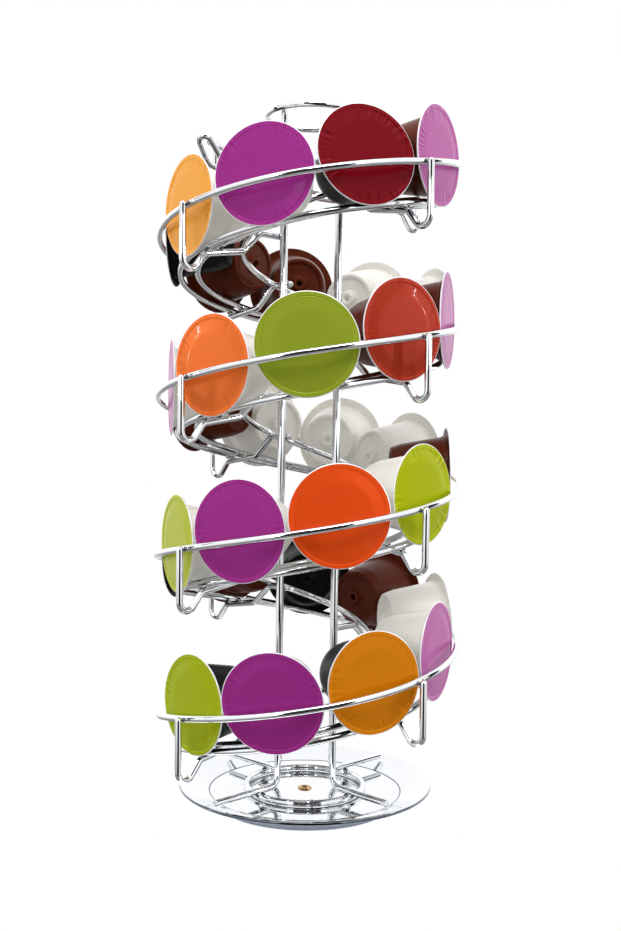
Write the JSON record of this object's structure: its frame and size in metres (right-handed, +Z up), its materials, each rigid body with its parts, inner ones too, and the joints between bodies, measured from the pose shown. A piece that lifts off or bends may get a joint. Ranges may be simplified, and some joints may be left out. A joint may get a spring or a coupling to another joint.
{
  "type": "coffee capsule dispenser",
  "caption": "Freestanding coffee capsule dispenser: a spiral wire track round four upright rods, standing on a turntable dish, with capsules resting on the track.",
  "frame": {"origin": "centre of the base's underside, on the turning axis, where it stands on the table", "axes": "+Z up along the turning axis, -Y towards the viewer of the picture, +X to the viewer's right"},
  "size_m": [0.1806, 0.1806, 0.4049],
  "materials": {
    "base_drum": "grey moulded ring under the dish, satin",
    "polished_dish": "mirror-polished steel sheet",
    "brass_rivet": "pale brass eyelet, polished",
    "chrome_wire": "chrome-plated round steel wire, mirror bright",
    "lid_green": "glossy green foil lid; the moulded cup behind it is white, brown or black",
    "lid_lime": "glossy lime foil lid; the moulded cup behind it is white, brown or black",
    "lid_purple": "glossy purple foil lid; the moulded cup behind it is white, brown or black",
    "lid_amber": "glossy amber foil lid; the moulded cup behind it is white, brown or black",
    "lid_pink": "glossy pink foil lid; the moulded cup behind it is white, brown or black",
    "lid_cream": "glossy cream foil lid; the moulded cup behind it is white, brown or black",
    "lid_orange_red": "glossy orange red foil lid; the moulded cup behind it is white, brown or black",
    "lid_orange": "glossy orange foil lid; the moulded cup behind it is white, brown or black",
    "lid_salmon": "glossy salmon foil lid; the moulded cup behind it is white, brown or black",
    "lid_red": "glossy red foil lid; the moulded cup behind it is white, brown or black",
    "lid_dark_red": "glossy dark red foil lid; the moulded cup behind it is white, brown or black"
  },
  "bodies": {
    "stand": {"turntable_base": "base_drum"},
    "rack": {"turntable_dish": "polished_dish", "pivot_rivet": "brass_rivet", "rod_front_left": "chrome_wire", "rod_front_right": "chrome_wire", "rod_rear_right": "chrome_wire", "rod_rear_left": "chrome_wire", "bottom_ring": "chrome_wire", "top_ring": "chrome_wire", "bracket_01": "chrome_wire", "bracket_02": "chrome_wire", "bracket_03": "chrome_wire", "bracket_04": "chrome_wire", "bracket_05": "chrome_wire", "bracket_06": "chrome_wire", "bracket_07": "chrome_wire", "bracket_08": "chrome_wire", "bracket_09": "chrome_wire", "bracket_10": "chrome_wire", "bracket_11": "chrome_wire", "bracket_12": "chrome_wire", "bracket_13": "chrome_wire", "bracket_14": "chrome_wire", "bracket_15": "chrome_wire", "bracket_16": "chrome_wire", "guard_rail": "chrome_wire", "back_rail": "chrome_wire", "floor_rails": "chrome_wire"},
    "capsule_01": {"capsule_01": "lid_green"},
    "capsule_02": {"capsule_02": "lid_purple"},
    "capsule_03": {"capsule_03": "lid_amber"},
    "capsule_04": {"capsule_04": "lid_pink"},
    "capsule_05": {"capsule_05": "lid_cream"},
    "capsule_06": {"capsule_06": "lid_red"},
    "capsule_07": {"capsule_07": "lid_amber"},
    "capsule_08": {"capsule_08": "lid_cream"},
    "capsule_09": {"capsule_09": "lid_dark_red"},
    "capsule_10": {"capsule_10": "lid_lime"},
    "capsule_11": {"capsule_11": "lid_purple"},
    "capsule_12": {"capsule_12": "lid_orange_red"},
    "capsule_13": {"capsule_13": "lid_lime"},
    "capsule_14": {"capsule_14": "lid_cream"},
    "capsule_15": {"capsule_15": "lid_pink"},
    "capsule_16": {"capsule_16": "lid_salmon"},
    "capsule_17": {"capsule_17": "lid_cream"},
    "capsule_18": {"capsule_18": "lid_amber"},
    "capsule_19": {"capsule_19": "lid_pink"},
    "capsule_20": {"capsule_20": "lid_salmon"},
    "capsule_21": {"capsule_21": "lid_green"},
    "capsule_22": {"capsule_22": "lid_red"},
    "capsule_23": {"capsule_23": "lid_pink"},
    "capsule_24": {"capsule_24": "lid_cream"},
    "capsule_25": {"capsule_25": "lid_cream"},
    "capsule_26": {"capsule_26": "lid_orange_red"},
    "capsule_27": {"capsule_27": "lid_red"},
    "capsule_28": {"capsule_28": "lid_dark_red"},
    "capsule_29": {"capsule_29": "lid_orange"},
    "capsule_30": {"capsule_30": "lid_purple"},
    "capsule_31": {"capsule_31": "lid_dark_red"},
    "capsule_32": {"capsule_32": "lid_pink"}
  },
  "joints": [
    {"name": "turntable_spin", "type": "hinge", "parent": "stand", "child": "rack", "pos_m": [0, 0, 0], "axis": [0, 0, 1], "continuous": true},
    {"name": "capsule_01_lift", "type": "slide", "parent": "rack", "child": "capsule_01", "axis": [0, 0, 1], "range_m": [0, 0.0255]},
    {"name": "capsule_02_lift", "type": "slide", "parent": "rack", "child": "capsule_02", "axis": [0, 0, 1], "range_m": [0, 0.0255]},
    {"name": "capsule_03_lift", "type": "slide", "parent": "rack", "child": "capsule_03", "axis": [0, 0, 1], "range_m": [0, 0.0255]},
    {"name": "capsule_04_lift", "type": "slide", "parent": "rack", "child": "capsule_04", "axis": [0, 0, 1], "range_m": [0, 0.0255]},
    {"name": "capsule_05_lift", "type": "slide", "parent": "rack", "child": "capsule_05", "axis": [0, 0, 1], "range_m": [0, 0.0255]},
    {"name": "capsule_06_lift", "type": "slide", "parent": "rack", "child": "capsule_06", "axis": [0, 0, 1], "range_m": [0, 0.0255]},
    {"name": "capsule_07_lift", "type": "slide", "parent": "rack", "child": "capsule_07", "axis": [0, 0, 1], "range_m": [0, 0.0255]},
    {"name": "capsule_08_lift", "type": "slide", "parent": "rack", "child": "capsule_08", "axis": [0, 0, 1], "range_m": [0, 0.0255]},
    {"name": "capsule_09_lift", "type": "slide", "parent": "rack", "child": "capsule_09", "axis": [0, 0, 1], "range_m": [0, 0.0255]},
    {"name": "capsule_10_lift", "type": "slide", "parent": "rack", "child": "capsule_10", "axis": [0, 0, 1], "range_m": [0, 0.0255]},
    {"name": "capsule_11_lift", "type": "slide", "parent": "rack", "child": "capsule_11", "axis": [0, 0, 1], "range_m": [0, 0.0255]},
    {"name": "capsule_12_lift", "type": "slide", "parent": "rack", "child": "capsule_12", "axis": [0, 0, 1], "range_m": [0, 0.0255]},
    {"name": "capsule_13_lift", "type": "slide", "parent": "rack", "child": "capsule_13", "axis": [0, 0, 1], "range_m": [0, 0.0255]},
    {"name": "capsule_14_lift", "type": "slide", "parent": "rack", "child": "capsule_14", "axis": [0, 0, 1], "range_m": [0, 0.0255]},
    {"name": "capsule_15_lift", "type": "slide", "parent": "rack", "child": "capsule_15", "axis": [0, 0, 1], "range_m": [0, 0.0255]},
    {"name": "capsule_16_lift", "type": "slide", "parent": "rack", "child": "capsule_16", "axis": [0, 0, 1], "range_m": [0, 0.0255]},
    {"name": "capsule_17_lift", "type": "slide", "parent": "rack", "child": "capsule_17", "axis": [0, 0, 1], "range_m": [0, 0.0255]},
    {"name": "capsule_18_lift", "type": "slide", "parent": "rack", "child": "capsule_18", "axis": [0, 0, 1], "range_m": [0, 0.0255]},
    {"name": "capsule_19_lift", "type": "slide", "parent": "rack", "child": "capsule_19", "axis": [0, 0, 1], "range_m": [0, 0.0255]},
    {"name": "capsule_20_lift", "type": "slide", "parent": "rack", "child": "capsule_20", "axis": [0, 0, 1], "range_m": [0, 0.0255]},
    {"name": "capsule_21_lift", "type": "slide", "parent": "rack", "child": "capsule_21", "axis": [0, 0, 1], "range_m": [0, 0.0255]},
    {"name": "capsule_22_lift", "type": "slide", "parent": "rack", "child": "capsule_22", "axis": [0, 0, 1], "range_m": [0, 0.0255]},
    {"name": "capsule_23_lift", "type": "slide", "parent": "rack", "child": "capsule_23", "axis": [0, 0, 1], "range_m": [0, 0.0255]},
    {"name": "capsule_24_lift", "type": "slide", "parent": "rack", "child": "capsule_24", "axis": [0, 0, 1], "range_m": [0, 0.0255]},
    {"name": "capsule_25_lift", "type": "slide", "parent": "rack", "child": "capsule_25", "axis": [0, 0, 1], "range_m": [0, 0.0255]},
    {"name": "capsule_26_lift", "type": "slide", "parent": "rack", "child": "capsule_26", "axis": [0, 0, 1], "range_m": [0, 0.0255]},
    {"name": "capsule_27_lift", "type": "slide", "parent": "rack", "child": "capsule_27", "axis": [0, 0, 1], "range_m": [0, 0.0195]},
    {"name": "capsule_28_lift", "type": "slide", "parent": "rack", "child": "capsule_28", "axis": [0, 0, 1], "range_m": [0, 0.0255]},
    {"name": "capsule_29_lift", "type": "slide", "parent": "rack", "child": "capsule_29", "axis": [0, 0, 1], "range_m": [0, 0.07]},
    {"name": "capsule_30_lift", "type": "slide", "parent": "rack", "child": "capsule_30", "axis": [0, 0, 1], "range_m": [0, 0.07]},
    {"name": "capsule_31_lift", "type": "slide", "parent": "rack", "child": "capsule_31", "axis": [0, 0, 1], "range_m": [0, 0.07]},
    {"name": "capsule_32_lift", "type": "slide", "parent": "rack", "child": "capsule_32", "axis": [0, 0, 1], "range_m": [0, 0.07]}
  ]
}
